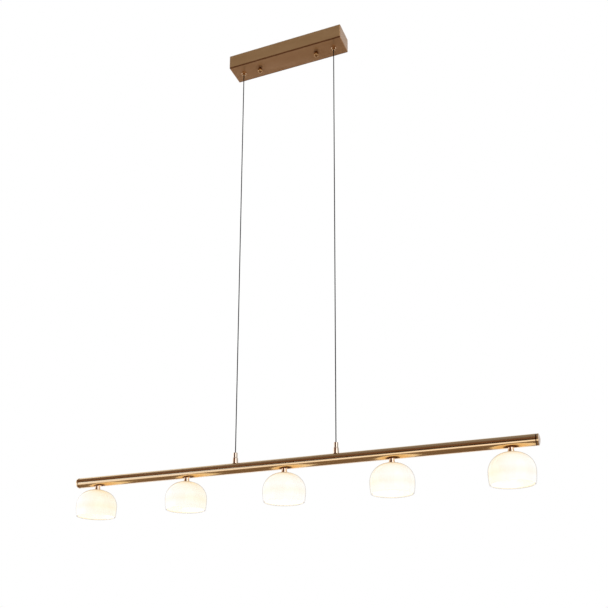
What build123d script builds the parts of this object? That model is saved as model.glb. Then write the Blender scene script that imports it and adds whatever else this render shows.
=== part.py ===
from build123d import *
from math import asin, cos, degrees, radians, sin, sqrt
import os

# A linear pendant: a brass bar with open glass shades, hung on two thin cables
# from a long box canopy.  Millimetres.  The origin is the centre of the ceiling
# plane, +X runs along the bar, +Z points up into the ceiling.

# ------------------------------------------------------------------ driving sizes
# Whole lamp
ceiling_to_bar = 1086.0        # ceiling plane down to the bar's axis
shade_count = 5
shade_pitch = 250.0

# Bar
tube_diameter = 25.0
tube_wall = 1.2
bar_end_overhang = 56.5        # outer shade's centre to the bar's end
cap_rim = 5.0                  # part of an end cap that shows
cap_spigot_length = 9.0
cap_wall = 1.6
cap_edge = 0.7
cap_dome = 2.6                 # rise of a cap's domed face

# Suspension cables
cable_diameter = 2.4
cable_bend_radius = 11.5
cable_joint_gap = 0.6          # where a hanging cable meets its tail, inside the plunger

# Canopy cover
canopy_width = 58.0
canopy_height = 35.0
canopy_wall = 1.2
canopy_corner = 2.0
canopy_fold = 1.6
canopy_end_margin = 27.5       # cable to the cover's end
gripper_offset = 46.25         # knob screw to cable

# Ceiling bracket and what it carries
bracket_width = 40.0
bracket_gauge = 1.5
bracket_flange = 7.0
bracket_fold = 2.0
bracket_end_margin = 15.0      # slot centre to the bracket's end
slot_offset = 20.75            # stud to ceiling screw slot
slot_width = 5.0
slot_length = 14.0
entry_diameter = 13.0
ground_screw_diameter = 4.0
ground_screw_inset = 10.0      # along X from the stud, and from the centre line
driver_length = 90.0
driver_width = 32.0
driver_height = 20.0
driver_corner = 2.5
driver_lid = 6.0
driver_lid_step = 0.6
driver_tab = 7.0
driver_tab_gauge = 1.6
driver_screw_diameter = 3.0
terminal_length = 20.0
terminal_width = 17.0
terminal_height = 13.0
terminal_ways = 3
terminal_edge = 1.0
layout_gap = 8.25              # between pieces in a row on the bracket
stud_clearance = 7.5           # stud's axis to its neighbour
tail_offset = 10.0             # cable tails run this far off the centre line
tail_depth = 9.5               # and this far under the ceiling
tail_in_driver = 2.0

# Studs and knob nuts
stud_diameter = 5.0
stud_nut_flats = 8.0
stud_nut_height = 4.0
knob_diameter = 11.4
knob_height = 7.9
knob_round = 2.2
knob_collar_diameter = 8.8
knob_collar_height = 2.4
knob_thread_depth = 8.0
knob_edge = 0.6

# Cable grippers
gripper_collar_diameter = 12.0
gripper_collar_height = 4.0
gripper_thread_diameter = 9.0
gripper_thread_length = 14.0
gripper_chamber_diameter = 6.8
gripper_cap_thickness = 1.6
gripper_nut_flats = 13.0
gripper_nut_height = 3.5
plunger_tip_diameter = 7.0
plunger_tip_height = 2.4
plunger_stem_diameter = 4.6
plunger_collar_height = 1.4
plunger_travel = 1.6
gripper_floor = 2.2            # bored end that guides the plunger
spring_wire = 0.5              # square wire
spring_turns = 3.0

# Cable ferrules on the bar
ferrule_base_diameter = 14.0
ferrule_base_height = 13.5
ferrule_taper = 0.7
ferrule_neck_diameter = 10.4
ferrule_neck_height = 11.5
ferrule_step = 1.2
ferrule_crown = 1.4
ferrule_bore_depth = 12.0

# Threaded stems through the bar's wall
stem_diameter = 8.0
stem_reach = 5.4               # stem's end beyond the tube's inner wall
stem_nut_flats = 11.0
stem_nut_height = 3.5
wire_bore = 4.6

# Necks that carry the shades
neck_top_diameter = 11.8
neck_base_diameter = 14.6
neck_length = 7.9              # under the tube, at the middle
neck_lip = 0.8
nipple_diameter = 10.0
nipple_in_socket = 3.0

# Glass shades
shade_diameter = 97.0
shade_height = 68.0
shade_wall = 3.0
shade_shoulder_radius = 39.0
shade_crown_angle = 24.4       # where crown and shoulder meet, from the axis
shade_draw_in = 2.0            # of the skirt at the rim
shade_hole_diameter = 10.6

# Shade washers, ring nuts, lamp sockets and capsule lamps
washer_diameter = 22.0
washer_thickness = 1.2
ring_diameter = 24.0
ring_thickness = 4.0
ring_edge = 0.8
ring_notch_count = 6
ring_notch_width = 3.0
ring_notch_depth = 1.6
socket_diameter = 18.0
socket_height = 12.0
socket_edge = 1.2
pin_pitch = 4.0
pin_diameter = 0.75
pin_length = 6.5
lamp_base_diameter = 11.0
lamp_base_height = 5.0
lamp_base_taper = 1.0
lamp_diameter = 14.0
lamp_height = 24.0
lamp_shoulder = 2.5

# Feed wires inside the bar
feed_wire_diameter = 2.2
feed_wire_drop = 4.9           # under the bar's axis
feed_wire_margin = 16.0        # bare tube beyond each wire's end

# Clearances
seat_gap = 0.3                 # between pieces of two bodies that meet
thread_gap = 0.05              # radial, in a thread or a turned fit
hole_gap = 0.3                 # radial, round a screw, cable or pin
spigot_gap = 0.1
touch_gap = 0.05               # between fixed pieces whose curved faces meet

# ------------------------------------------------------------------ worked-out places
tube_outer = tube_diameter / 2
tube_inner = tube_outer - tube_wall
bar_z = -ceiling_to_bar
bar_length = (shade_count - 1) * shade_pitch + 2 * bar_end_overhang
tube_length = bar_length - 2 * cap_rim

knob_spacing = 2 * stud_clearance + driver_length + entry_diameter + terminal_length + 2 * layout_gap
cable_spacing = knob_spacing + 2 * gripper_offset
slot_spacing = knob_spacing + 2 * slot_offset
bracket_length = slot_spacing + 2 * bracket_end_margin
canopy_length = cable_spacing + 2 * canopy_end_margin

driver_x = -knob_spacing / 2 + stud_clearance + driver_length / 2
entry_x = driver_x + driver_length / 2 + layout_gap + entry_diameter / 2
terminal_x = entry_x + entry_diameter / 2 + layout_gap + terminal_length / 2

ground_x = -knob_spacing / 2 - ground_screw_inset
ground_y = -ground_screw_inset

canopy_under = -canopy_height
gripper_mouth = canopy_under - gripper_collar_height
plunger_tip_top = gripper_mouth - plunger_travel - seat_gap
cable_exit_z = plunger_tip_top - plunger_tip_height
gripper_top = canopy_under + gripper_thread_length
chamber_floor = gripper_mouth + gripper_floor
chamber_roof = gripper_top - gripper_cap_thickness
cable_bore = cable_diameter + 2 * hole_gap

ferrule_top = bar_z + tube_outer + ferrule_base_height + ferrule_neck_height
cable_end_z = ferrule_top - ferrule_bore_depth + seat_gap

neck_base_z = bar_z - tube_outer - neck_length
shade_radius = shade_diameter / 2
shoulder_x = shade_radius - shade_shoulder_radius
crown_radius = shade_shoulder_radius + shoulder_x / sin(radians(shade_crown_angle))
hole_radius = shade_hole_diameter / 2
crown_centre_z = neck_base_z - sqrt(crown_radius ** 2 - hole_radius ** 2)
shade_rim_z = crown_centre_z + crown_radius - shade_height
inner_crown_radius = crown_radius - shade_wall


def under_crown(radius):
    """Height of the glass's inner crown at a distance from the shade's axis."""
    return crown_centre_z + sqrt(inner_crown_radius ** 2 - radius ** 2)


washer_top = under_crown(washer_diameter / 2) - touch_gap
ring_top = min(washer_top - washer_thickness, under_crown(ring_diameter / 2)) - seat_gap
socket_top = ring_top - ring_thickness - seat_gap
socket_base = socket_top - socket_height
lamp_top = socket_base - seat_gap

shade_places = [(k - (shade_count - 1) / 2) * shade_pitch for k in range(shade_count)]
sides = {"left": -1, "right": 1}


# ------------------------------------------------------------------ shared helpers
def turned(points):
    """A piece turned on the Z axis from its half outline, radius then height."""
    outline = make_face(Polyline(*points, close=True))
    return revolve(Plane.XZ * outline, Axis.Z)


def rod(diameter, low, high):
    """A round bar on the Z axis between two heights."""
    return Pos(0, 0, low) * Cylinder(diameter / 2, high - low, align=(Align.CENTER, Align.CENTER, Align.MIN))


def hex_nut(flats, height, hole):
    """A hexagon nut on the Z axis, standing on zero, flats to the front and back."""
    blank = extrude(RegularPolygon(flats / 2, 6, major_radius=False), height)
    nut = blank - rod(hole + 2 * thread_gap, -1, height + 1)
    corner = flats / sqrt(3)
    crown = turned([(0, -1), (corner - 0.5, -1), (corner + 1.5, 1), (corner + 1.5, height - 1),
                    (corner - 0.5, height + 1), (0, height + 1)])
    return nut & crown


def bar_cylinder(radius, length):
    """A cylinder along the bar's axis."""
    return Pos(0, 0, bar_z) * Rot(0, 90, 0) * Cylinder(radius, length)


# ------------------------------------------------------------------ ceiling side
def make_bracket():
    """Folded steel strap: a plate with two down-turned flanges, slots and holes."""
    outer = Box(bracket_length, bracket_width, bracket_flange + bracket_gauge,
                align=(Align.CENTER, Align.CENTER, Align.MAX))
    outer = fillet(outer.edges().filter_by(Axis.X).group_by(Axis.Z)[-1], bracket_fold)
    inner = Box(bracket_length + 2, bracket_width - 2 * bracket_gauge, bracket_flange + bracket_gauge,
                align=(Align.CENTER, Align.CENTER, Align.MAX))
    inside_fold = max(bracket_fold - bracket_gauge, 0.3)
    inner = fillet(inner.edges().filter_by(Axis.X).group_by(Axis.Z)[-1], inside_fold)
    strap = outer - Pos(0, 0, -bracket_gauge) * inner
    deep = bracket_gauge + 2
    low = -bracket_gauge - 1
    for side in sides.values():
        slot = extrude(SlotOverall(slot_length, slot_width), deep)
        strap -= Pos(side * slot_spacing / 2, 0, low) * slot
        strap -= Pos(side * knob_spacing / 2, 0, low) * rod(stud_diameter + 2 * thread_gap, 0, deep)
        ear_x = driver_x + side * (driver_length - driver_tab) / 2
        strap -= Pos(ear_x, 0, low) * rod(driver_screw_diameter + 2 * thread_gap, 0, deep)
    strap -= Pos(entry_x, 0, low) * rod(entry_diameter, 0, deep)
    strap -= Pos(ground_x, ground_y, low) * rod(ground_screw_diameter + 2 * thread_gap, 0, deep)
    return strap


def make_studs():
    """Two threaded rods that hang from the bracket and carry the cover."""
    low = canopy_under - knob_thread_depth + seat_gap
    stud = chamfer(rod(stud_diameter, low, -0.2).edges().filter_by(GeomType.CIRCLE).group_by(Axis.Z)[0], 0.6)
    return [Pos(side * knob_spacing / 2, 0, 0) * stud for side in sides.values()]


def make_stud_nuts():
    """Nuts that lock the studs under the bracket."""
    nut = hex_nut(stud_nut_flats, stud_nut_height, stud_diameter)
    low = -bracket_gauge - stud_nut_height
    return [Pos(side * knob_spacing / 2, 0, low) * nut for side in sides.values()]


def slotted_screw(diameter, length):
    """A slotted screw, its head hanging under zero and its shank standing up."""
    head_height = diameter * 0.6
    head = chamfer(rod(2 * diameter, -head_height, 0).faces().sort_by(Axis.Z)[0].edges(), head_height * 0.3)
    slot = Pos(0, 0, -head_height) * Box(2 * diameter + 2, diameter * 0.25, head_height * 0.8)
    return head + rod(diameter, -0.1, length) - slot


def make_cover():
    """Drawn steel box, open to the ceiling, with four holes in its floor."""
    shell = Box(canopy_length, canopy_width, canopy_height, align=(Align.CENTER, Align.CENTER, Align.MAX))
    shell = fillet(shell.edges().filter_by(Axis.Z), canopy_corner)
    shell = fillet(shell.faces().sort_by(Axis.Z)[0].edges(), canopy_fold)
    hollow = Box(canopy_length - 2 * canopy_wall, canopy_width - 2 * canopy_wall, canopy_height + 2,
                 align=(Align.CENTER, Align.CENTER, Align.MIN))
    hollow = fillet(hollow.edges().filter_by(Axis.Z), max(canopy_corner - canopy_wall, 0.3))
    cover = shell - Pos(0, 0, canopy_under + canopy_wall) * hollow
    low = canopy_under - 1
    high = canopy_under + canopy_wall + 1
    for side in sides.values():
        cover -= Pos(side * knob_spacing / 2, 0, 0) * rod(stud_diameter + 2 * hole_gap, low, high)
        cover -= Pos(side * cable_spacing / 2, 0, 0) * rod(gripper_thread_diameter + 2 * hole_gap, low, high)
    return cover


def make_driver():
    """Low-voltage driver: a moulded case, its lid set in a little, and two screw ears."""
    hang = (Align.CENTER, Align.CENTER, Align.MAX)
    case_length = driver_length - 2 * driver_tab
    case = Box(case_length, driver_width, driver_height - driver_lid, align=hang)
    case = fillet(case.edges().filter_by(Axis.Z), driver_corner)
    inset = 2 * driver_lid_step
    lid = Box(case_length - inset, driver_width - inset, driver_height, align=hang)
    lid = fillet(lid.edges().filter_by(Axis.Z), driver_corner - driver_lid_step)
    ears = Box(driver_length, driver_width * 0.5, driver_tab_gauge, align=hang)
    driver = case + lid + ears
    for side in sides.values():
        hole = rod(driver_screw_diameter + 2 * hole_gap, -driver_tab_gauge - 1, 1)
        driver -= Pos(side * (driver_length - driver_tab) / 2, 0, 0) * hole
        lead_hole = Rot(0, 90, 0) * Cylinder((cable_diameter + 2 * hole_gap) / 2, 2 * tail_in_driver)
        driver -= Pos(side * case_length / 2, tail_offset, bracket_gauge - tail_depth) * lead_hole
    return Pos(driver_x, 0, -bracket_gauge) * driver


def make_driver_screws():
    """Two screws through the driver's ears into the bracket."""
    screw = slotted_screw(driver_screw_diameter, driver_tab_gauge + bracket_gauge - 0.1)
    height = -bracket_gauge - driver_tab_gauge
    places = [driver_x + side * (driver_length - driver_tab) / 2 for side in sides.values()]
    return [Pos(x, 0, height) * screw for x in places]


def make_terminal():
    """Mains terminal block with a screw well and two wire mouths for each way."""
    hang = (Align.CENTER, Align.CENTER, Align.MAX)
    block = Box(terminal_length, terminal_width, terminal_height, align=hang)
    block = fillet(block.edges().filter_by(Axis.Z), terminal_edge)
    pitch = terminal_width / terminal_ways
    for way in range(terminal_ways):
        y = (way - (terminal_ways - 1) / 2) * pitch
        block -= Pos(0, y, 0) * rod(pitch * 0.62, -terminal_height - 1, -terminal_height * 0.55)
        mouth = Rot(0, 90, 0) * Cylinder(pitch * 0.25, terminal_length + 2)
        block -= Pos(0, y, -terminal_height * 0.4) * mouth
    return Pos(terminal_x, -terminal_width / 2 + 2, -bracket_gauge) * block


def make_ground_screw():
    """Earth screw, driven up into the bracket from below."""
    return Pos(ground_x, ground_y, -bracket_gauge) * slotted_screw(ground_screw_diameter, bracket_gauge - 0.1)


def make_knob():
    """Turned brass knob nut: collar, round-edged body and a blind thread."""
    shoulder_z = -knob_collar_height
    foot_z = shoulder_z - knob_height
    radius = knob_diameter / 2
    collar = knob_collar_diameter / 2
    outline = Polyline((radius, foot_z + knob_round), (radius, shoulder_z - knob_edge),
                       (radius - knob_edge, shoulder_z), (collar, shoulder_z), (collar, 0),
                       (0, 0), (0, foot_z), (radius - knob_round, foot_z))
    foot = RadiusArc((radius - knob_round, foot_z), (radius, foot_z + knob_round), -knob_round)
    knob = revolve(Plane.XZ * make_face([outline, foot]), Axis.Z)
    knob -= rod(stud_diameter + 2 * thread_gap, -knob_thread_depth - seat_gap, 1)
    return Pos(0, 0, canopy_under - seat_gap) * knob


# ------------------------------------------------------------------ cable grippers
def make_gripper():
    """Gripper body: collar under the cover, thread through it, spring chamber inside."""
    body = rod(gripper_collar_diameter, gripper_mouth, canopy_under)
    body = chamfer(body.edges().filter_by(GeomType.CIRCLE).group_by(Axis.Z)[0], 0.8)
    body += rod(gripper_thread_diameter, canopy_under - 0.5, gripper_top)
    body -= rod(plunger_stem_diameter + 2 * hole_gap, gripper_mouth - 1, chamber_roof)
    body -= rod(gripper_chamber_diameter, chamber_floor, chamber_roof)
    body -= rod(cable_bore, gripper_mouth, gripper_top + 1)
    return body


def make_gripper_nuts():
    """Locknuts that hold the grippers to the cover's floor."""
    nut = hex_nut(gripper_nut_flats, gripper_nut_height, gripper_thread_diameter)
    low = canopy_under + canopy_wall
    return [Pos(side * cable_spacing / 2, 0, low) * nut for side in sides.values()]


def make_plunger():
    """Release plunger: pressed up, it frees the cable that runs through it."""
    collar_low = chamber_floor + seat_gap
    tip = rod(plunger_tip_diameter, cable_exit_z, plunger_tip_top)
    tip = chamfer(tip.edges().filter_by(GeomType.CIRCLE).group_by(Axis.Z)[0], plunger_tip_height * 0.3)
    stem = rod(plunger_stem_diameter, cable_exit_z + 0.5, collar_low + plunger_collar_height)
    collar = rod(gripper_chamber_diameter - 2 * hole_gap, collar_low, collar_low + plunger_collar_height)
    return tip + stem + collar - rod(cable_bore, cable_exit_z - 1, collar_low + plunger_collar_height + 1)


def make_spring():
    """Coil spring that pushes the plunger back down."""
    low = chamber_floor + seat_gap + plunger_collar_height
    room = chamber_roof - low
    coil_radius = (cable_bore + gripper_chamber_diameter) / 4
    height = room - spring_wire - 2 * touch_gap
    pitch = height / spring_turns
    path = Helix(pitch, height, coil_radius, center=(0, 0, low + touch_gap + spring_wire / 2))
    section = Plane(path @ 0, z_dir=path % 0) * Rectangle(spring_wire, spring_wire)
    return sweep(section, path=path, is_frenet=True)


def make_cable_tail(side):
    """The cable's last stretch: up out of the gripper, past the stud, into the driver."""
    stud_x = side * knob_spacing / 2
    end_x = driver_x + side * (driver_length / 2 - driver_tab - tail_in_driver + seat_gap)
    points = [(side * cable_spacing / 2, 0, cable_exit_z + cable_joint_gap),
              (side * cable_spacing / 2, 0, -tail_depth),
              (stud_x + side * stud_clearance, tail_offset, -tail_depth),
              (end_x, tail_offset, -tail_depth)]
    path = FilletPolyline(*points, radius=[cable_bend_radius, 2 * cable_bend_radius])
    section = Plane(path @ 0, z_dir=path % 0) * Circle(cable_diameter / 2)
    return sweep(section, path=path)


# ------------------------------------------------------------------ bar
def make_tube():
    """Drawn brass tube, drilled below for the necks and above for the ferrules."""
    tube = bar_cylinder(tube_outer, tube_length) - bar_cylinder(tube_inner, tube_length + 2)
    drill = stem_diameter + 2 * hole_gap
    for x in shade_places:
        tube -= Pos(x, 0, 0) * rod(drill, bar_z - tube_outer - 1, bar_z)
    for side in sides.values():
        tube -= Pos(side * cable_spacing / 2, 0, 0) * rod(drill, bar_z, bar_z + tube_outer + 1)
    return tube


def make_cap(side):
    """Turned end cap: a low dome on a flush rim, its edge broken, and a hollow spigot."""
    spigot_radius = tube_inner - spigot_gap
    cup_radius = spigot_radius - cap_wall
    dome_foot = tube_outer - cap_edge
    dome_radius = (dome_foot ** 2 + cap_dome ** 2) / (2 * cap_dome)
    dome = RadiusArc((0, cap_rim + cap_dome), (dome_foot, cap_rim), dome_radius)
    body = Polyline((dome_foot, cap_rim), (tube_outer, cap_rim - cap_edge), (tube_outer, 0),
                    (spigot_radius, 0), (spigot_radius, -cap_spigot_length), (cup_radius, -cap_spigot_length),
                    (cup_radius, cap_rim - cap_wall), (0, cap_rim - cap_wall), (0, cap_rim + cap_dome))
    cap = revolve(Plane.XZ * make_face([dome, body]), Axis.Z)
    return Pos(side * tube_length / 2, 0, bar_z) * Rot(0, side * 90, 0) * cap


def make_ferrule():
    """Stepped brass ferrule: tapered base saddled on the tube, slim neck, cable bore."""
    seat = bar_z + tube_outer
    step_z = seat + ferrule_base_height
    base_top = ferrule_base_diameter / 2 - ferrule_taper
    points = [(0, bar_z + tube_inner), (ferrule_base_diameter / 2, bar_z + tube_inner),
              (ferrule_base_diameter / 2, seat), (base_top, step_z - ferrule_step),
              (ferrule_neck_diameter / 2, step_z), (ferrule_neck_diameter / 2, ferrule_top - ferrule_crown),
              (ferrule_neck_diameter / 2 - ferrule_crown, ferrule_top), (0, ferrule_top)]
    ferrule = turned(points) - bar_cylinder(tube_outer + touch_gap, 4 * ferrule_base_diameter)
    stem_end = bar_z + tube_inner - stem_reach
    ferrule += rod(stem_diameter, stem_end, seat + 1)
    ferrule -= rod(cable_bore, ferrule_top - ferrule_bore_depth, ferrule_top + 1)
    ferrule -= rod(wire_bore, stem_end - 1, seat + ferrule_base_height * 0.4)
    return ferrule


def nut_seat():
    """Distance from the bar's axis at which a nut's flats meet the tube's inner wall."""
    return sqrt(tube_inner ** 2 - (stem_nut_flats / 2) ** 2) - touch_gap


def make_ferrule_nuts():
    """Nuts inside the tube that draw the ferrules down."""
    nut = hex_nut(stem_nut_flats, stem_nut_height, stem_diameter)
    low = bar_z + nut_seat() - stem_nut_height
    return [Pos(side * cable_spacing / 2, 0, low) * nut for side in sides.values()]


def make_neck_nuts():
    """Nuts inside the tube that draw the necks up."""
    nut = hex_nut(stem_nut_flats, stem_nut_height, stem_diameter)
    return [Pos(x, 0, bar_z - nut_seat()) * nut for x in shade_places]


def make_neck():
    """Flared neck saddled under the tube, with a stem above and a nipple below."""
    top_z = bar_z - tube_inner
    top_radius = neck_top_diameter / 2
    base_radius = neck_base_diameter / 2
    flare_start = (top_radius, bar_z - tube_outer)
    flare_end = (base_radius, neck_base_z + neck_lip)
    flare = RadiusArc(flare_start, flare_end, neck_length * 1.6)
    outline = Polyline(flare_end, (base_radius, neck_base_z), (0, neck_base_z), (0, top_z),
                       (top_radius, top_z), flare_start)
    body = revolve(Plane.XZ * make_face([flare, outline]), Axis.Z)
    body -= bar_cylinder(tube_outer + touch_gap, 4 * neck_base_diameter)
    stem_end = bar_z - tube_inner + stem_reach
    body += rod(stem_diameter, neck_base_z + 1, stem_end)
    body += rod(nipple_diameter, socket_top - nipple_in_socket, neck_base_z + 0.5)
    return body - rod(wire_bore, socket_top - nipple_in_socket - 1, stem_end + 1)


def make_feed_wire(front):
    """Insulated wire along the tube's inner wall that joins the lamp sockets."""
    wire_radius = feed_wire_diameter / 2
    reach = tube_inner - wire_radius - seat_gap
    y = front * sqrt(reach ** 2 - feed_wire_drop ** 2)
    wire = Rot(0, 90, 0) * Cylinder(wire_radius, tube_length - 2 * feed_wire_margin)
    return Pos(0, y, bar_z - feed_wire_drop) * wire


# ------------------------------------------------------------------ shades and lamps
def make_shade():
    """Blown glass dome of one wall: crown, shoulder and skirt in tangent arcs, a
    skirt that draws in to a round fire-polished rim, and a ground hole on top."""
    crown = radians(shade_crown_angle)
    shoulder_z = crown_centre_z + (crown_radius - shade_shoulder_radius) * cos(crown)
    half_wall = shade_wall / 2
    skirt_drop = shoulder_z - shade_rim_z - half_wall
    skirt_middle = (skirt_drop ** 2 + shade_draw_in ** 2) / (2 * shade_draw_in)
    skirt_angle = degrees(asin(skirt_drop / skirt_middle))
    skirt_x = shade_radius - half_wall - skirt_middle
    skirt_radius = skirt_middle + half_wall

    def arc(x, z, radius, start, end):
        angles = [radians(start), radians((start + end) / 2), radians(end)]
        return ThreePointArc(*[(x + radius * cos(a), z + radius * sin(a)) for a in angles])

    def wall(inset):
        hole = degrees(asin(hole_radius / (crown_radius - inset)))
        return [arc(0, crown_centre_z, crown_radius - inset, 90 - hole, 90 - shade_crown_angle),
                arc(shoulder_x, shoulder_z, shade_shoulder_radius - inset, 90 - shade_crown_angle, 0),
                arc(skirt_x, shoulder_z, skirt_radius - inset, 0, -skirt_angle)]

    outside = wall(0)
    inside = wall(shade_wall)
    turn = radians(skirt_angle)
    lip = (skirt_x + skirt_middle * cos(turn), shoulder_z - skirt_middle * sin(turn))
    lip_bottom = (lip[0] - half_wall * sin(turn), lip[1] - half_wall * cos(turn))
    rim = ThreePointArc(outside[2] @ 1, lip_bottom, inside[2] @ 1)
    hole_wall = Line(inside[0] @ 0, outside[0] @ 0)
    return revolve(Plane.XZ * make_face([*outside, rim, *inside, hole_wall]), Axis.Z)


def make_washers():
    """Soft washers between each shade and its ring nut."""
    hole = nipple_diameter + 2 * thread_gap
    washer = rod(washer_diameter, washer_top - washer_thickness, washer_top)
    washer -= rod(hole, washer_top - washer_thickness - 1, washer_top + 1)
    return [Pos(x, 0, 0) * washer for x in shade_places]


def make_ring():
    """Notched ring nut that clamps the glass up against the neck."""
    ring = rod(ring_diameter, ring_top - ring_thickness, ring_top)
    ring = chamfer(ring.edges().filter_by(GeomType.CIRCLE).group_by(Axis.Z)[0], ring_edge)
    ring -= rod(nipple_diameter + 2 * thread_gap, ring_top - ring_thickness - 1, ring_top + 1)
    notch_x = ring_diameter / 2 + ring_notch_depth
    for k in range(ring_notch_count):
        notch = Box(4 * ring_notch_depth, ring_notch_width, ring_thickness + 2)
        notch = Pos(notch_x, 0, ring_top - ring_thickness / 2) * notch
        ring -= Rot(0, 0, k * 360 / ring_notch_count) * notch
    return ring


def make_socket():
    """Ceramic two-pin socket: nipple recess above, two pin holes below."""
    socket = rod(socket_diameter, socket_base, socket_top)
    socket = chamfer(socket.edges().filter_by(GeomType.CIRCLE).group_by(Axis.Z)[0], socket_edge)
    socket -= rod(nipple_diameter + 2 * thread_gap, socket_top - nipple_in_socket - 0.2, socket_top + 1)
    for side in sides.values():
        hole = rod(pin_diameter + 2 * hole_gap, socket_base - 1, socket_base + pin_length + 1)
        socket -= Pos(side * pin_pitch / 2, 0, 0) * hole
    return socket


def make_lamp():
    """Capsule lamp: tapered base, frosted capsule with a domed tip, two wire pins."""
    base_low = lamp_top - lamp_base_height
    tip_z = base_low - lamp_height
    radius = lamp_diameter / 2
    base = Polyline((0, lamp_top), (lamp_base_diameter / 2 - lamp_base_taper, lamp_top),
                    (lamp_base_diameter / 2, base_low), (radius, base_low - lamp_shoulder),
                    (radius, tip_z + radius))
    tip = RadiusArc((radius, tip_z + radius), (0, tip_z), radius)
    axis_line = Line((0, tip_z), (0, lamp_top))
    lamp = revolve(Plane.XZ * make_face([base, tip, axis_line]), Axis.Z)
    for side in sides.values():
        lamp += Pos(side * pin_pitch / 2, 0, 0) * rod(pin_diameter, lamp_top - 1, socket_base + pin_length)
    return lamp


# ------------------------------------------------------------------ writing the parts
def write(name, *pieces):
    """One file for each named piece, or for a group of like pieces."""
    solids = [solid for piece in pieces for solid in piece.solids()]
    shape = solids[0] if len(solids) == 1 else Compound(children=solids)
    shape.label = name
    export_step(shape, os.path.join("parts", name + ".step"))


os.makedirs("parts", exist_ok=True)
print("cable tail bends", cable_bend_radius, 2 * cable_bend_radius, "cable diameter", cable_diameter)

write("ceiling_bracket", make_bracket())
write("bracket_studs", *make_studs())
write("stud_nuts", *make_stud_nuts())
write("ground_screw", make_ground_screw())
write("canopy_cover", make_cover())
write("led_driver", make_driver())
write("driver_screws", *make_driver_screws())
write("mains_terminal", make_terminal())
write("gripper_nuts", *make_gripper_nuts())

for side_name, side in sides.items():
    at_cable = Pos(side * cable_spacing / 2, 0, 0)
    write("knob_nut_" + side_name, Pos(side * knob_spacing / 2, 0, 0) * make_knob())
    write("cable_gripper_" + side_name, at_cable * make_gripper())
    write("release_plunger_" + side_name, at_cable * make_plunger())
    write("gripper_spring_" + side_name, at_cable * make_spring())
    write("cable_tail_" + side_name, make_cable_tail(side))
    write("cable_" + side_name, at_cable * rod(cable_diameter, cable_end_z, cable_exit_z))
    write("cable_ferrule_" + side_name, at_cable * make_ferrule())
    write("end_cap_" + side_name, make_cap(side))

write("bar_tube", make_tube())
write("ferrule_nuts", *make_ferrule_nuts())
write("neck_nuts", *make_neck_nuts())
write("feed_wire_front", make_feed_wire(-1))
write("feed_wire_back", make_feed_wire(1))
write("shade_washers", *make_washers())

neck = make_neck()
shade = make_shade()
ring_nut = make_ring()
socket = make_socket()
lamp = make_lamp()
for number, x in enumerate(shade_places, start=1):
    write(f"shade_neck_{number}", Pos(x, 0, 0) * neck)
    write(f"glass_shade_{number}", Pos(x, 0, 0) * shade)
    write(f"shade_ring_{number}", Pos(x, 0, 0) * ring_nut)
    write(f"lamp_socket_{number}", Pos(x, 0, 0) * socket)
    write(f"capsule_lamp_{number}", Pos(x, 0, 0) * lamp)
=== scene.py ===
import bmesh
import bpy
from math import asin, cos, degrees, pi, radians, sin, sqrt
from mathutils import Matrix, Vector


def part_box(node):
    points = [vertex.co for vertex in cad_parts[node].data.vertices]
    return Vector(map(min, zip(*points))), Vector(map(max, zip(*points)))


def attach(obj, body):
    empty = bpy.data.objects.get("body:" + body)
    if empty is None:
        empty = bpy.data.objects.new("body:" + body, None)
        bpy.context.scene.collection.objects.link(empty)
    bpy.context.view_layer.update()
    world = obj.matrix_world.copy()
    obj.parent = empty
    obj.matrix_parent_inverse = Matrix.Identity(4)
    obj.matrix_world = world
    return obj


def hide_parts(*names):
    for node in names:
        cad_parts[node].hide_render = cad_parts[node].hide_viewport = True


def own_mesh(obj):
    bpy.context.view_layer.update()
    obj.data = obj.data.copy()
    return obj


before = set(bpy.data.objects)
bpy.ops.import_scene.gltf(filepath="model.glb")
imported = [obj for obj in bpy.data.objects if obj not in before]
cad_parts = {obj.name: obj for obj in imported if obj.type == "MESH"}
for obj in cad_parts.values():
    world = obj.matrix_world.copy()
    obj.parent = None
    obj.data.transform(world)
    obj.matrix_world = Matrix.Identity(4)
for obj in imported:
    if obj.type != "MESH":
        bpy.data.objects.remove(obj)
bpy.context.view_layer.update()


# ---------------------------------------------------------------- camera
# The photograph is taken from below the bar and to its right, looking slightly
# up.  It is a low crop of that picture, so the lens is shifted upward.
PICTURE = 608                     # pixels across the square photograph
FOCAL_PIXELS = 830.7
AXIS_PIXEL = (314.8, 471.3)       # where the lens's axis meets the photograph
camera_place = Vector((0.7321, -1.6561, -1.5282))
camera_heading = radians(21.69)   # turned to the left of straight ahead
camera_pitch = radians(13.22)
ahead = Vector((-sin(camera_heading) * cos(camera_pitch), cos(camera_heading) * cos(camera_pitch),
                sin(camera_pitch)))

lens = bpy.data.cameras.new("photograph")
lens.sensor_width = 36
lens.lens = FOCAL_PIXELS / PICTURE * lens.sensor_width
lens.shift_x = (PICTURE / 2 - AXIS_PIXEL[0]) / PICTURE
lens.shift_y = (AXIS_PIXEL[1] - PICTURE / 2) / PICTURE
lens.clip_start = 0.01
camera = bpy.data.objects.new("camera", lens)
camera.location = camera_place
camera.rotation_euler = ahead.to_track_quat("-Z", "Y").to_euler()
bpy.context.scene.collection.objects.link(camera)
bpy.context.scene.camera = camera
bpy.context.scene.view_settings.view_transform = "Standard"


# ---------------------------------------------------------------- studio
# A white room.  The world is plain white to the camera; polished brass sees soft
# bands of it, as it would see a wide low window, a dim ceiling and bright sides.
def tone(red, green, blue):
    """A colour written as it looks on a screen, 0 to 255, given as light."""
    light = [((c / 255 + 0.055) / 1.055) ** 2.4 if c > 10 else c / 3295 for c in (red, green, blue)]
    return (*light, 1)


def grey(level):
    """A neutral colour of a level of light."""
    return (level, level, level, 1)


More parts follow.
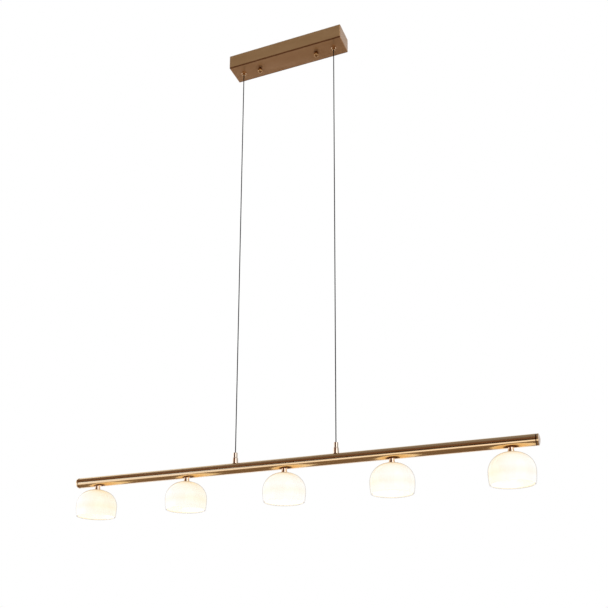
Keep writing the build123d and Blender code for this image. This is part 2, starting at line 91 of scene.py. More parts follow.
def feed(tree, value, socket):
    """A socket takes another node's value, or a plain number."""
    if isinstance(value, bpy.types.NodeSocket):
        tree.links.new(value, socket)
    else:
        socket.default_value = value


def ramp(tree, source, stops):
    """Colours along a value, as (position, colour) pairs."""
    node = tree.nodes.new("ShaderNodeValToRGB")
    for extra in stops[2:]:
        node.color_ramp.elements.new(extra[0])
    for element, (position, colour) in zip(node.color_ramp.elements, stops):
        element.position = position
        element.color = colour
    feed(tree, source, node.inputs["Fac"])
    return node.outputs["Color"]


def share(tree, source, low, high, kind="LINEAR"):
    """How far a value has come from low to high, as 0 to 1."""
    node = tree.nodes.new("ShaderNodeMapRange")
    node.interpolation_type = kind
    node.inputs["From Min"].default_value = low
    node.inputs["From Max"].default_value = high
    feed(tree, source, node.inputs["Value"])
    return node.outputs["Result"]


def soft_step(tree, source, low, high):
    """A soft step from 0 to 1 as a value runs from low to high."""
    return share(tree, source, low, high, "SMOOTHSTEP")


def calculated(tree, operation, *values):
    """A sum worked out on the values of nodes and on plain numbers."""
    node = tree.nodes.new("ShaderNodeMath")
    node.operation = operation
    for value, socket in zip(values, node.inputs):
        feed(tree, value, socket)
    return node.outputs["Value"]


def all_of(tree, mask, *others):
    """Where every one of these masks holds."""
    for other in others:
        mask = calculated(tree, "MULTIPLY", mask, other)
    return mask


def mixed(tree, amount, first, second, blend="MIX"):
    """Two colours, mixed by an amount."""
    node = tree.nodes.new("ShaderNodeMix")
    node.data_type = "RGBA"
    node.blend_type = blend
    feed(tree, amount, node.inputs["Factor"])
    feed(tree, first, node.inputs["A"])
    feed(tree, second, node.inputs["B"])
    return node.outputs["Result"]


def axes_of(tree, coordinate):
    """The X, Y and Z parts of a texture coordinate."""
    place = tree.nodes.new("ShaderNodeTexCoord")
    split = tree.nodes.new("ShaderNodeSeparateXYZ")
    feed(tree, place.outputs[coordinate], split.inputs["Vector"])
    return split.outputs


def height_of(degrees_up):
    """Where a direction that many degrees above level lies on a ramp from straight down to straight up."""
    return (sin(radians(degrees_up)) + 1) / 2


def heading_of(degrees_right):
    """Where a direction that many degrees to the right of the viewer lies on a ramp all the way round."""
    return (degrees_right + 180) / 360


world = bpy.data.worlds.new("white room")
bpy.context.scene.world = world
world.use_nodes = True
room = world.node_tree
room.nodes.clear()
direction = axes_of(room, "Generated")
heading = calculated(room, "ARCTAN2", direction["X"], calculated(room, "MULTIPLY", direction["Y"], -1))
by_height = ramp(room, share(room, direction["Z"], -1, 1), [
    (height_of(-90), (0.165, 0.12, 0.098, 1)), (height_of(-72), (0.21, 0.155, 0.125, 1)),
    (height_of(-46), (0.225, 0.15, 0.098, 1)), (height_of(-34), (0.3, 0.25, 0.22, 1)),
    (height_of(-27), (1.3, 1.33, 1.55, 1)), (height_of(-12), (1.3, 1.33, 1.55, 1)),
    (height_of(-5), (0.13, 0.07, 0.04, 1)), (height_of(4), (0.035, 0.015, 0.006, 1)),
    (height_of(16), (0.035, 0.015, 0.006, 1)), (height_of(22), (0.165, 0.068, 0.026, 1)),
    (height_of(47), (0.15, 0.092, 0.074, 1)), (height_of(74), (0.25, 0.24, 0.26, 1))])
round_about = ramp(room, share(room, heading, -pi, pi), [
    (heading_of(-180), grey(0.66)), (heading_of(-140), grey(0.7)), (heading_of(-115), grey(1.2)),
    (heading_of(-50), grey(1.2)), (heading_of(10), grey(1.5)), (heading_of(72), grey(1.5)),
    (heading_of(84), grey(0.1)), (heading_of(116), grey(0.1)), (heading_of(128), grey(0.66)),
    (heading_of(180), grey(0.66))])

to_left = soft_step(room, direction["X"], -0.76, -0.84)
to_right = soft_step(room, direction["X"], 0.36, 0.48)
behind = soft_step(room, direction["Y"], 0.0, 0.2)
above_level = soft_step(room, direction["Z"], -0.1, 0.04)
below_overhead = soft_step(room, direction["Z"], 0.95, 0.75)
around = calculated(room, "MAXIMUM", calculated(room, "MAXIMUM", to_left, to_right), behind)
beside = all_of(room, around, above_level, below_overhead)

left_window = all_of(room, soft_step(room, direction["X"], -0.34, -0.52),
                     soft_step(room, direction["Z"], 0.2, 0.08), soft_step(room, direction["Z"], -0.4, -0.3))
window_light = ramp(room, left_window, [(0.0, grey(0)), (1.0, (1.1, 1.25, 1.75, 1))])
in_front = soft_step(room, direction["Y"], 0.3, 0.1)
viewer_side = mixed(room, all_of(room, left_window, in_front), by_height, window_light)
all_round = mixed(room, beside, viewer_side, round_about)


def background(colour):
    """Plain light of the room."""
    node = room.nodes.new("ShaderNodeBackground")
    feed(room, colour, node.inputs["Color"])
    return node.outputs["Background"]


def seen_by(kind_of_ray, usual, special):
    """The room looks usual, but special to one kind of ray."""
    ray = room.nodes.new("ShaderNodeLightPath")
    node = room.nodes.new("ShaderNodeMixShader")
    feed(room, ray.outputs[kind_of_ray], node.inputs["Fac"])
    feed(room, usual, node.inputs[1])
    feed(room, special, node.inputs[2])
    return node.outputs["Shader"]


soft_light = background(grey(0.8))
white_page = background(grey(1))
lights = seen_by("Is Glossy Ray", soft_light, background(all_round))
surroundings = seen_by("Is Camera Ray", lights, white_page)
feed(room, surroundings, room.nodes.new("ShaderNodeOutputWorld").inputs["Surface"])


# ---------------------------------------------------------------- ceiling bracket and its fasteners
# A strap folded from zinc-plated steel strip, screwed to the ceiling through its
# slots.  Its studs, nuts and screws have the same bright, slightly cloudy zinc.
def shader_of(finish):
    """The sockets of a finish's shader."""
    return finish.node_tree.nodes["Principled BSDF"].inputs


def new_finish(name, **settings):
    """A finish whose shader has these plain settings, named with _ for a space."""
    finish = bpy.data.materials.new(name)
    finish.use_nodes = True
    for socket, value in settings.items():
        shader_of(finish)[socket.replace("_", " ")].default_value = value
    return finish


def mottle(finish, patches, detail=3.0):
    """Soft random pattern on the piece, with this many patches to the metre each way."""
    tree = finish.node_tree
    place = tree.nodes.new("ShaderNodeTexCoord")
    mapping = tree.nodes.new("ShaderNodeMapping")
    mapping.inputs["Scale"].default_value = patches
    texture = tree.nodes.new("ShaderNodeTexNoise")
    texture.inputs["Scale"].default_value = 1
    texture.inputs["Detail"].default_value = detail
    feed(tree, place.outputs["Object"], mapping.inputs["Vector"])
    feed(tree, mapping.outputs["Vector"], texture.inputs["Vector"])
    return texture.outputs["Fac"]


def colour_by(finish, source, stops):
    """The finish's colour runs through these stops along a pattern."""
    feed(finish.node_tree, ramp(finish.node_tree, source, stops), shader_of(finish)["Base Color"])


def dull_by(finish, source, low, high):
    """The finish's roughness runs between two values along a pattern."""
    spread = finish.node_tree.nodes.new("ShaderNodeMapRange")
    spread.inputs["To Min"].default_value = low
    spread.inputs["To Max"].default_value = high
    feed(finish.node_tree, source, spread.inputs["Value"])
    feed(finish.node_tree, spread.outputs["Result"], shader_of(finish)["Roughness"])


def relief(finish, source, depth, strength=0.3):
    """Fine relief of a depth in metres along a pattern."""
    bump = finish.node_tree.nodes.new("ShaderNodeBump")
    bump.inputs["Strength"].default_value = strength
    bump.inputs["Distance"].default_value = depth
    feed(finish.node_tree, source, bump.inputs["Height"])
    feed(finish.node_tree, bump.outputs["Normal"], shader_of(finish)["Normal"])


def dress(finish, *names):
    """CAD pieces take a finish."""
    for name in names:
        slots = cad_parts[name].data.materials
        slots.clear()
        slots.append(finish)


zinc = new_finish("zinc plate", Metallic=1.0, Roughness=0.35)
clouds = mottle(zinc, (160, 160, 160))
colour_by(zinc, clouds, [(0.3, tone(176, 180, 184)), (0.7, tone(208, 208, 200))])
dull_by(zinc, clouds, 0.28, 0.45)
relief(zinc, mottle(zinc, (900, 900, 900)), 0.00005)
dress(zinc, "ceiling_bracket", "bracket_studs", "stud_nuts", "ground_screw", "driver_screws", "gripper_nuts",
      "ferrule_nuts", "neck_nuts")


# ---------------------------------------------------------------- driver and terminal block
# The low-voltage driver is a moulded white case under the bracket; the terminal
# block beside it is softer, slightly yellow nylon.
white_case = new_finish("driver moulding", Roughness=0.45)
grain = mottle(white_case, (700, 700, 700))
colour_by(white_case, grain, [(0.3, tone(222, 222, 218)), (0.7, tone(232, 232, 228))])
relief(white_case, grain, 0.0001, 0.4)
dress(white_case, "led_driver")

nylon = new_finish("terminal nylon", Roughness=0.55, Subsurface_Weight=0.1)
cloud = mottle(nylon, (120, 120, 120))
colour_by(nylon, cloud, [(0.3, tone(226, 220, 202)), (0.7, tone(236, 232, 216))])
dress(nylon, "mains_terminal")


# ---------------------------------------------------------------- canopy cover
# A long box of thin drawn steel, plated a satin antique bronze and lacquered.  A painted
# dark reflection runs along the long folds, the long sides are painted paler as if lit,
# and the plate is satin smooth below.
MM = 0.001
canopy_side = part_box("canopy_cover")[1].y
canopy_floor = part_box("canopy_cover")[0].z
fold_start = 2.8 * MM             # where the painted dark line fades, in from the side and up from the floor
fold_end = 2.0 * MM
side_start = 0.4 * MM             # where the sides' painted lighter colour fades in
side_end = 0.1 * MM

antique_bronze = new_finish("antique bronze plate", Metallic=0.6, Coat_Weight=0.1, Coat_Roughness=0.12)
patina = mottle(antique_bronze, (14, 40, 40), 4.0)
brushing = mottle(antique_bronze, (30, 2400, 2400), 2.0)
tree = antique_bronze.node_tree
place = axes_of(tree, "Object")
outward = calculated(tree, "ABSOLUTE", place["Y"])
# a painted dark reflection along each long fold, where the side meets the floor
in_fold = all_of(tree, soft_step(tree, outward, canopy_side - fold_start, canopy_side - fold_end),
                 soft_step(tree, place["Z"], canopy_floor + fold_start, canopy_floor + fold_end))
# the long sides are painted paler than the underside, as if lit
on_long_side = soft_step(tree, outward, canopy_side - side_start, canopy_side - side_end)
bronze = ramp(tree, patina, [
    (0.25, tone(174, 131, 90)), (0.5, tone(180, 137, 95)), (0.75, tone(188, 146, 106))])
painted_lit_side = ramp(tree, patina, [
    (0.25, tone(193, 157, 111)), (0.5, tone(199, 163, 117)), (0.75, tone(205, 170, 125))])
painted_fold_reflection = ramp(tree, patina, [(0.3, tone(110, 66, 30)), (0.7, tone(122, 76, 38))])
plate_and_painted_lit_sides = mixed(tree, on_long_side, bronze, painted_lit_side)
feed(tree, mixed(tree, in_fold, plate_and_painted_lit_sides, painted_fold_reflection), shader_of(antique_bronze)["Base Color"])
dull_by(antique_bronze, patina, 0.16, 0.26)
relief(antique_bronze, brushing, 0.00002, 0.12)
dress(antique_bronze, "canopy_cover")


# ---------------------------------------------------------------- knob nuts
# Two small knob nuts of polished brass that hold the cover up on its studs.  A painted
# highlight rings the grip, with painted shade on the end face and up toward the cover.
def tinted(tree, tint, colour):
    """One colour tinted by another."""
    return mixed(tree, 1, colour, tint, "MULTIPLY")


polished_brass = new_finish("polished brass", Metallic=1.0, Coat_Weight=0.3, Coat_Roughness=0.05)
wear = mottle(polished_brass, (260, 260, 260))
tree = polished_brass.node_tree
up_the_knob = share(tree, axes_of(tree, "Object")["Z"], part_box("knob_nut_left")[0].z, canopy_floor)
# a painted highlight band at the grip; painted shade on the end face and up toward the cover
painted_glint_and_shade = ramp(tree, up_the_knob, [
    (0.0, tone(196, 150, 94)), (0.1, tone(196, 150, 94)), (0.18, tone(255, 232, 176)),
    (0.36, tone(255, 232, 176)), (0.5, tone(170, 116, 58)), (1.0, tone(130, 82, 38))])
worn = ramp(tree, wear, [(0.3, grey(0.85)), (0.7, grey(1))])
feed(tree, tinted(tree, worn, painted_glint_and_shade), shader_of(polished_brass)["Base Color"])
dull_by(polished_brass, wear, 0.08, 0.2)
dress(polished_brass, "knob_nut_left", "knob_nut_right")


# ---------------------------------------------------------------- cable grippers
# Turned grippers of warm polished brass, with a sprung plunger at the mouth that
# lets the cable slide when it is pressed up.  The ring nuts have the same finish.
warm_brass = new_finish("warm turned brass", Metallic=1.0, Coat_Weight=0.2, Coat_Roughness=0.1)
lathe_marks = mottle(warm_brass, (90, 90, 1400), 3.0)
colour_by(warm_brass, lathe_marks, [
    (0.25, tone(226, 190, 142)), (0.5, tone(234, 200, 154)), (0.75, tone(240, 210, 168))])
dull_by(warm_brass, lathe_marks, 0.06, 0.13)
relief(warm_brass, mottle(warm_brass, (200, 200, 4000), 2.0), 0.00001, 0.06)
dress(warm_brass, "cable_gripper_left", "cable_gripper_right", "release_plunger_left",
      "release_plunger_right", "shade_ring_1", "shade_ring_2", "shade_ring_3", "shade_ring_4", "shade_ring_5")


# ---------------------------------------------------------------- suspension cables
# Two steel cables in a dark clear-coated jacket, drawn tight by the bar.  Each
# leaves its gripper's plunger and ends in the ferrule on the bar.
SIDES = {"left": -1, "right": 1}
cable_spacing = 247 * MM
cable_diameter = 2.4 * MM
cable_radius = cable_diameter / 2
cable_exit = -43.3 * MM
cable_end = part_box("cable_left")[0].z
cable_facets = 20


def skin(rings):
    """A closed tube through rings of points, one after another."""
    shape = bmesh.new()
    rings = [[shape.verts.new(point) for point in ring] for ring in rings]
    for ring, following in zip(rings, rings[1:]):
        for k in range(len(ring)):
            shape.faces.new((ring[k - 1], ring[k], following[k], following[k - 1]))
    shape.faces.new(rings[0])
    shape.faces.new(rings[-1])
    bmesh.ops.recalc_face_normals(shape, faces=shape.faces)
    return shape


def set_down(shape, name, finish, body, node=None, sharp=35):
    """Makes a finished piece of a modelled shape, smooth but for its sharp edges."""
    data = bpy.data.meshes.new(name)
    shape.to_mesh(data)
    shape.free()
    data.polygons.foreach_set("use_smooth", [True] * len(data.polygons))
    data.set_sharp_from_angle(angle=radians(sharp))
    data.materials.append(finish)
    piece = bpy.data.objects.new(name, data)
    bpy.context.scene.collection.objects.link(piece)
    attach(piece, body)
    if node:
        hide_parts(node)
    return piece


jacket = new_finish("dark cable jacket", Roughness=0.6, Specular_IOR_Level=0.08)
strands = jacket.node_tree.nodes.new("ShaderNodeTexWave")
strands.wave_type = "BANDS"
strands.bands_direction = "DIAGONAL"
strands.inputs["Scale"].default_value = 450
where = jacket.node_tree.nodes.new("ShaderNodeTexCoord")
feed(jacket.node_tree, where.outputs["Object"], strands.inputs["Vector"])
colour_by(jacket, strands.outputs["Fac"], [(0.2, tone(8, 8, 8)), (0.8, tone(16, 15, 15))])
relief(jacket, strands.outputs["Fac"], 0.00008, 0.4)
dress(jacket, "cable_tail_left", "cable_tail_right")

# a straight length with a round top, which stays on its tail while it swings
turns = [2 * pi * k / cable_facets for k in range(cable_facets)]
levels = [(cable_radius, cable_end)]
for slope in range(0, 90, 15):
    levels.append((cable_radius * cos(radians(slope)), cable_exit + cable_radius * sin(radians(slope))))
for side_name, side in SIDES.items():
    top = Vector((side * cable_spacing / 2, 0, cable_exit))
    cable = skin([[(top.x + radius * cos(turn), radius * sin(turn), level) for turn in turns]
                  for radius, level in levels])
    cable = set_down(cable, "suspension_cable_" + side_name, jacket, "cables",
                     "cable_" + side_name)
    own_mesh(cable)


# ---------------------------------------------------------------- gripper springs
# A coil of round spring wire around the cable in each gripper, held at its top.  The
# real coil shortens as its plunger is pressed up; this one keeps its rest length.
coil_radius = 2.45 * MM
coil_wire = 0.25 * MM
coil_turns = 3
coil_steps = 30                   # to a turn
wire_facets = 10
coil_seat = -22.6 * MM            # the roof of the gripper's chamber

spring_steel = new_finish("spring steel", Metallic=1.0, Roughness=0.25)
colour_by(spring_steel, mottle(spring_steel, (2000, 2000, 2000)), [
    (0.3, tone(140, 142, 146)), (0.7, tone(172, 174, 176))])

up = Vector((0, 0, 1))
turns = [2 * pi * k / wire_facets for k in range(wire_facets)]
for side_name, side in SIDES.items():
    seat = Vector((side * cable_spacing / 2, 0, coil_seat))
    coil_low, coil_high = [corner.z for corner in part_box("gripper_spring_" + side_name)]
    rise = coil_high - coil_low - 2 * coil_wire
    rings = []
    for step in range(coil_steps * coil_turns + 1):
        heading = 2 * pi * step / coil_steps
        outward = Vector((cos(heading), sin(heading), 0))
        height = coil_low + coil_wire + rise * step / (coil_steps * coil_turns)
        middle = Vector((seat.x, 0, height)) + outward * coil_radius
        rings.append([middle + coil_wire * (outward * cos(turn) + up * sin(turn)) for turn in turns])
    coil = set_down(skin(rings), "plunger_spring_" + side_name, spring_steel, "root",
                    "gripper_spring_" + side_name)
    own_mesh(coil)


# ---------------------------------------------------------------- bar
# A drawn brass tube, brushed along its length and left to age, with a turned cap
# let into each end so that only a hairline shows.
bar_radius = 12.5 * MM
bar_wall = 1.2 * MM
bar_level = -1086 * MM            # the bar's axis, under the ceiling
bar_facets = 96
tube_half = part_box("bar_tube")[1].x
cap_rim = 5 * MM
cap_dome = 2.6 * MM
cap_edge = 0.7 * MM
cap_back = -9 * MM                # how far the cap goes into the tube
seam_gap = 0.1 * MM
seam_bevel = 0.6 * MM             # on both edges of the joint


def turned(outline, steps, closed=False):
    """A shape turned on the Z axis from its half outline, radius then height."""
    shape = bmesh.new()
    points = [shape.verts.new((radius, 0, height)) for radius, height in outline]
    lines = [shape.edges.new(pair) for pair in zip(points, points[1:])]
    if closed:
        lines.append(shape.edges.new((points[-1], points[0])))
    bmesh.ops.spin(shape, geom=points + lines, cent=(0, 0, 0), axis=(0, 0, 1), angle=2 * pi, steps=steps,
                   use_merge=True)
    bmesh.ops.remove_doubles(shape, verts=shape.verts, dist=1e-7)
    bmesh.ops.recalc_face_normals(shape, faces=shape.faces)
    return shape


def moved(shape, x, z=0, tilt=0):
    """The shape tilted about Y, then moved to its place."""
    bmesh.ops.rotate(shape, matrix=Matrix.Rotation(tilt, 3, "Y"), verts=shape.verts)
    bmesh.ops.translate(shape, vec=(x, 0, z), verts=shape.verts)
    return shape


def bend(centre, radius, start, end, steps=8):
    """Points on an arc, radius and height, between two angles from level."""
    angles = [radians(start + (end - start) * k / steps) for k in range(steps + 1)]
    return [(centre[0] + radius * cos(angle), centre[1] + radius * sin(angle)) for angle in angles]


brushed_brass = new_finish("brushed aged brass", Metallic=1.0, Coat_Weight=0.15, Coat_Roughness=0.12,
                           Anisotropic=0.95, Anisotropic_Rotation=0.25)
tarnish = mottle(brushed_brass, (9, 60, 60), 5.0)
tree = brushed_brass.node_tree
outward = calculated(tree, "ABSOLUTE", axes_of(tree, "Object")["X"])
# the joint between tube and cap is coloured darker
in_joint = all_of(tree, soft_step(tree, outward, tube_half - 1.3 * MM, tube_half - 0.9 * MM),
                  soft_step(tree, outward, tube_half + 1.1 * MM, tube_half + 0.7 * MM))
# the caps' end faces are painted paler, a painted highlight as if lit
on_end = soft_step(tree, outward, tube_half + cap_rim - 0.4 * MM, tube_half + cap_rim)
drawn = ramp(tree, tarnish, [
    (0.25, tone(232, 194, 136)), (0.5, tone(238, 203, 149)), (0.75, tone(242, 210, 160))])
painted_lit_end = ramp(tree, tarnish, [(0.3, tone(246, 222, 204)), (0.7, tone(250, 232, 216))])
dark_joint = ramp(tree, tarnish, [(0.3, tone(96, 52, 26)), (0.7, tone(120, 72, 40))])
tube_and_end = mixed(tree, on_end, drawn, painted_lit_end)
feed(tree, mixed(tree, in_joint, tube_and_end, dark_joint), shader_of(brushed_brass)["Base Color"])
dull_by(brushed_brass, tarnish, 0.13, 0.19)
relief(brushed_brass, mottle(brushed_brass, (18, 3200, 3200), 2.0), 0.00001, 0.1)
lengthwise = tree.nodes.new("ShaderNodeTangent")
lengthwise.direction_type = "RADIAL"
lengthwise.axis = "X"
feed(tree, lengthwise.outputs["Tangent"], shader_of(brushed_brass)["Tangent"])

inner = bar_radius - bar_wall
end = tube_half - seam_gap
tube = turned([(bar_radius, end - seam_bevel), (bar_radius, seam_bevel - end),
               (bar_radius - seam_bevel, -end), (inner, -end), (inner, end), (bar_radius - seam_bevel, end)],
              bar_facets, closed=True)
moved(tube, 0, bar_level, tilt=pi / 2)
set_down(tube, "brass_bar", brushed_brass, "bar", "bar_tube", sharp=25)

dome_foot = bar_radius - cap_edge
dome_radius = (dome_foot ** 2 + cap_dome ** 2) / (2 * cap_dome)
foot_angle = 90 - degrees(asin(dome_foot / dome_radius))
for side_name, side in SIDES.items():
    dome = bend((0, cap_rim + cap_dome - dome_radius), dome_radius, 90, foot_angle, 10)
    cap = turned([*dome, (bar_radius - cap_edge * 0.3, cap_rim - cap_edge * 0.3),
                  (bar_radius, cap_rim - cap_edge), (bar_radius, seam_gap + seam_bevel),
                  (bar_radius - seam_bevel, seam_gap), (inner - seam_gap, seam_gap),
                  (inner - seam_gap, cap_back), (0, cap_back)], bar_facets)
    moved(cap, side * tube_half, bar_level, tilt=side * pi / 2)
    set_down(cap, "bar_end_cap_" + side_name, brushed_brass, "bar", "end_cap_" + side_name,
             sharp=25)


# ---------------------------------------------------------------- cable ferrules
# Stepped ferrules turned from a paler brass: a slightly tapered base that saddles
# the bar and a slimmer neck with a rounded crown, where the cable goes in.
saddle = 0.8 * MM                 # how far a turned foot reaches into the bar's wall
turned_facets = 64
ferrule_foot = 7.0 * MM           # radii, from the bar up
ferrule_shoulder = 6.2 * MM
ferrule_neck = 5.2 * MM
ferrule_bore = 1.5 * MM
ferrule_step = bar_radius + 13.5 * MM
ferrule_top = ferrule_step + 11.5 * MM
bore_depth = 8 * MM
bore_edge = 0.3 * MM
crown_round = 1.4 * MM

pale_brass = new_finish("pale turned brass", Metallic=1.0, Coat_Weight=0.3, Coat_Roughness=0.06)
turning = mottle(pale_brass, (60, 60, 900), 3.0)
colour_by(pale_brass, turning, [
    (0.25, tone(246, 222, 200)), (0.5, tone(250, 232, 214)), (0.75, tone(252, 238, 222))])
dull_by(pale_brass, turning, 0.05, 0.1)
relief(pale_brass, mottle(pale_brass, (200, 200, 4000), 2.0), 0.00001, 0.06)

for side_name, side in SIDES.items():
    crown = bend((ferrule_neck - crown_round, ferrule_top - crown_round), crown_round, 0, 90)
    ferrule = turned([(4.5 * MM, bar_radius - saddle), (ferrule_foot, bar_radius - saddle),
                      (ferrule_foot, bar_radius), (ferrule_shoulder + 0.15 * MM, ferrule_step - 1.4 * MM),
                      (ferrule_shoulder, ferrule_step - 1.1 * MM), (ferrule_neck, ferrule_step), *crown,
                      (ferrule_bore + bore_edge, ferrule_top), (ferrule_bore, ferrule_top - bore_edge),
                      (ferrule_bore, ferrule_top - bore_depth), (0, ferrule_top - bore_depth)], turned_facets)
    moved(ferrule, side * cable_spacing / 2, bar_level)
    set_down(ferrule, "bar_ferrule_" + side_name, pale_brass, "bar",
             "cable_ferrule_" + side_name)


# ---------------------------------------------------------------- necks
# A short flared neck under the bar carries each shade; its threaded nipple goes on
# down through the glass to the ring nut and the socket.
SHADES = 5
shade_pitch = 250 * MM
shade_places = {number: (number - (SHADES + 1) / 2) * shade_pitch for number in range(1, SHADES + 1)}
neck_radius = 5.9 * MM
neck_flare = 7.3 * MM             # the neck's radius where it meets the glass
neck_base = -20.4 * MM            # under the bar's axis
nipple_radius = 5.0 * MM
nipple_end = -33.06 * MM

for number, x in shade_places.items():
    flare = [(neck_radius, saddle - bar_radius), (neck_radius, -bar_radius), (6.1 * MM, -14.6 * MM),
             (6.5 * MM, -16.8 * MM), (7.1 * MM, -18.9 * MM), (neck_flare, -19.6 * MM),
             (neck_flare, neck_base)]
    neck = turned([(0, saddle - bar_radius), *flare, (nipple_radius, neck_base), (nipple_radius, nipple_end),
                   (0, nipple_end)], turned_facets)
    moved(neck, x, bar_level)
    set_down(neck, f"flared_neck_{number}", pale_brass, "bar", f"shade_neck_{number}")


# ---------------------------------------------------------------- washers, sockets and feed wires
# Inside each shade a silicone washer and a ring nut clamp the glass, and an unglazed
# ceramic socket hangs from the nipple.  The feed wires run inside the bar.
silicone = new_finish("washer silicone", Roughness=0.6, Subsurface_Weight=0.15)
colour_by(silicone, mottle(silicone, (400, 400, 400)), [
    (0.3, tone(214, 210, 202)), (0.7, tone(226, 222, 214))])
dress(silicone, "shade_washers")

steatite = new_finish("socket ceramic", Roughness=0.6)
speckle = mottle(steatite, (1500, 1500, 1500))
colour_by(steatite, speckle, [(0.3, tone(232, 226, 214)), (0.7, tone(246, 242, 232))])
relief(steatite, speckle, 0.00008, 0.3)
dress(steatite, *[f"lamp_socket_{number}" for number in shade_places])

wire_coat = new_finish("feed wire insulation", Roughness=0.5)
colour_by(wire_coat, mottle(wire_coat, (40, 300, 300)), [(0.3, tone(52, 48, 46)), (0.7, tone(66, 62, 58))])
dress(wire_coat, "feed_wire_front", "feed_wire_back")


# ---------------------------------------------------------------- capsule lamps
# Small two-pin capsule lamps: a ceramic foot, a frosted capsule that glows warm
# white, and two stiff wire pins.
lamp_tip, pin_reach = [corner.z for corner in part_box("capsule_lamp_1")]
lamp_radius = 7 * MM
lamp_facets = 48
foot_top = pin_reach - 6.8 * MM
foot_base = foot_top - 5 * MM
pin_radius = 0.36 * MM
pin_offset = 2 * MM               # from the lamp's axis
pin_root = 1 * MM                 # the length held in the foot

frosted = new_finish("frosted capsule", Base_Color=tone(255, 246, 230), Roughness=0.5, Emission_Strength=3.0)
glow = ramp(frosted.node_tree, mottle(frosted, (300, 300, 300)), [
    (0.3, tone(255, 236, 206)), (0.7, tone(255, 242, 218))])
feed(frosted.node_tree, glow, shader_of(frosted)["Emission Color"])

for number, x in shade_places.items():
    capsule = turned([(5.2 * MM, foot_base + 0.5 * MM), (5.6 * MM, foot_base),
                      (lamp_radius, foot_base - 2.5 * MM),
                      *bend((0, lamp_tip + lamp_radius), lamp_radius, 0, -90, 12)], lamp_facets)
    set_down(moved(capsule, x), f"lamp_capsule_{number}", frosted, f"lamp_{number}",
             f"capsule_lamp_{number}")
    foot = turned([(0, foot_top), (4.3 * MM, foot_top), (4.6 * MM, foot_top - 0.3 * MM),
                   (5.5 * MM, foot_base), (0, foot_base)], lamp_facets)
    set_down(moved(foot, x), f"lamp_foot_{number}", steatite, f"lamp_{number}")
    pins = bmesh.new()
    for side in SIDES.values():
        pin = bmesh.ops.create_cone(pins, cap_ends=True, segments=12, radius1=pin_radius, radius2=pin_radius,
                                    depth=pin_reach - foot_top + pin_root)
        middle = (x + side * pin_offset, 0, (pin_reach + foot_top - pin_root) / 2)
        bmesh.ops.translate(pins, vec=middle, verts=pin["verts"])
    set_down(pins, f"lamp_pins_{number}", spring_steel, f"lamp_{number}")


# ---------------------------------------------------------------- glass shades
# Blown opal domes, open below.  Crown, shoulder and skirt run into each other, the
# skirt draws in a little, and the rim is fire-polished round.  The glass has a painted
# glow: creamy toward the crown, near white down the skirt, with painted shadow around
# the neck hole.
shade_radius = 48.5 * MM
shade_height = 68 * MM
shade_facets = 96
arc_steps = 8
shoulder_radius = 39 * MM
crown_angle = 24.4
glass = 3 * MM
draw_in = 2 * MM
hole_radius = 5.3 * MM
crown_radius = shoulder_radius + (shade_radius - shoulder_radius) / sin(radians(crown_angle))
crown_centre = bar_level + neck_base - sqrt(crown_radius ** 2 - hole_radius ** 2)
shoulder_centre = crown_centre + (crown_radius - shoulder_radius) * cos(radians(crown_angle))
skirt_drop = shoulder_centre - (crown_centre + crown_radius - shade_height) - glass / 2
skirt_bend = (skirt_drop ** 2 + draw_in ** 2) / (2 * draw_in)
skirt_angle = degrees(asin(skirt_drop / skirt_bend))
skirt_centre = shade_radius - glass / 2 - skirt_bend


def glass_line(inset):
    """One face of the wall, from the hole's edge down to the lip."""
    hole_angle = degrees(asin(hole_radius / (crown_radius - inset)))
    crown = bend((0, crown_centre), crown_radius - inset, 90 - hole_angle, 90 - crown_angle, arc_steps)
    shoulder = bend((shade_radius - shoulder_radius, shoulder_centre), shoulder_radius - inset,
                    90 - crown_angle, 0, 3 * arc_steps)
    skirt = bend((skirt_centre, shoulder_centre), skirt_bend + glass / 2 - inset, 0, -skirt_angle, arc_steps)
    return crown + shoulder[1:] + skirt[1:]


# emission gives the glass a painted glow, standing for the lamp's light through it
opal = new_finish("lit opal glass", Roughness=0.14, Specular_IOR_Level=0.35, Emission_Strength=0.42)
tree = opal.node_tree
place = axes_of(tree, "Object")
facing = axes_of(tree, "Normal")
shade_low, shade_high = [corner.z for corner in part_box("glass_shade_1")]
up_the_shade = share(tree, place["Z"], shade_low, shade_high)
# the glass's colour, warmer toward the crown, with painted shadow of the ring and washer around the neck hole
opal_and_painted_shadow = ramp(tree, up_the_shade, [
    (0.0, (0.84, 0.81, 0.77, 1)), (0.15, (0.84, 0.81, 0.77, 1)), (0.3, (0.84, 0.785, 0.715, 1)),
    (0.5, (0.84, 0.805, 0.76, 1)), (0.76, (0.84, 0.785, 0.7, 1)), (0.9, (0.84, 0.73, 0.58, 1)),
    (0.966, (0.84, 0.71, 0.54, 1)), (0.98, (0.13, 0.05, 0.015, 1))])
# the painted glow, warm toward the crown and dark around the neck hole as painted shadow
painted_glow = ramp(tree, up_the_shade, [
    (0.0, tone(255, 252, 248)), (0.15, tone(255, 252, 248)), (0.3, tone(255, 246, 228)),
    (0.5, tone(254, 251, 246)), (0.76, tone(254, 245, 230)), (0.88, tone(255, 231, 188)),
    (0.965, tone(255, 224, 168)), (0.98, tone(40, 16, 5))])

# a painted grey outline where the wall turns away, and painted warm light on the side toward the next shade
rim_view = tree.nodes.new("ShaderNodeLayerWeight")
rim_view.inputs["Blend"].default_value = 0.5
at_edge = soft_step(tree, rim_view.outputs["Facing"], 0.64, 1.0)
edge_tint = ramp(tree, at_edge, [(0.0, grey(1)), (1.0, tone(152, 148, 146))])
to_middle = soft_step(tree, calculated(tree, "MULTIPLY", facing["X"], place["X"]), 0.1, -0.32)
painted_neighbour_light = ramp(tree, to_middle, [(0.0, grey(1)), (1.0, tone(255, 251, 238))])

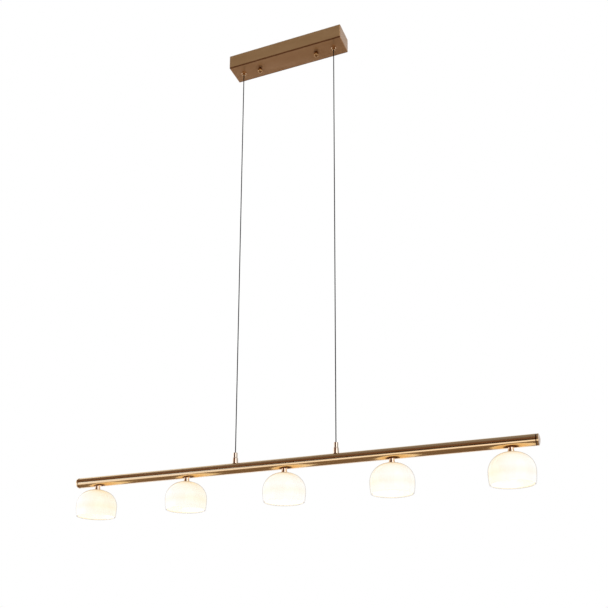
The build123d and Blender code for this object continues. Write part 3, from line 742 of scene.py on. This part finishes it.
# the lip is a little greyer inside
from_axis = calculated(tree, "WRAP", place["X"], shade_pitch / 2, -shade_pitch / 2)
squares = calculated(tree, "ADD", calculated(tree, "MULTIPLY", from_axis, from_axis),
                     calculated(tree, "MULTIPLY", place["Y"], place["Y"]))
lip_radius = shade_radius - draw_in
radius = calculated(tree, "SQRT", squares)
inside = soft_step(tree, radius, lip_radius - glass * 0.45, lip_radius - glass * 0.65)
at_lip = all_of(tree, inside, soft_step(tree, up_the_shade, 0.045, 0.03))
lip_tint = ramp(tree, at_lip, [(0.0, grey(1)), (1.0, tone(222, 222, 220))])

tint = tinted(tree, edge_tint, tinted(tree, painted_neighbour_light, lip_tint))
feed(tree, tinted(tree, tint, opal_and_painted_shadow), shader_of(opal)["Base Color"])
feed(tree, tinted(tree, tint, painted_glow), shader_of(opal)["Emission Color"])
relief(opal, mottle(opal, (25, 25, 25), 2.0), 0.0003, 0.03)

for number, x in shade_places.items():
    lip_middle = (skirt_centre + skirt_bend * cos(radians(skirt_angle)),
                  shoulder_centre - skirt_bend * sin(radians(skirt_angle)))
    lip = bend(lip_middle, glass / 2, -skirt_angle, -skirt_angle - 180, 10)
    shade = turned(glass_line(0) + lip[1:-1] + glass_line(glass)[::-1], shade_facets, closed=True)
    set_down(moved(shade, x), f"opal_shade_{number}", opal, "bar", f"glass_shade_{number}")


# ---------------------------------------------------------------- floor
# A plain pale floor, well below the lamp.
floor_level = -2.2
floor_shape = bmesh.new()
bmesh.ops.create_grid(floor_shape, x_segments=1, y_segments=1, size=6)
bmesh.ops.translate(floor_shape, vec=(0, 0, floor_level), verts=floor_shape.verts)
floor_data = bpy.data.meshes.new("floor")
floor_shape.to_mesh(floor_data)
floor_shape.free()
pale = new_finish("pale floor", Roughness=0.8)
colour_by(pale, mottle(pale, (3, 3, 3)), [(0.3, grey(0.86)), (0.7, grey(0.9))])
floor_data.materials.append(pale)
floor = bpy.data.objects.new("floor", floor_data)
floor.visible_glossy = False
bpy.context.scene.collection.objects.link(floor)
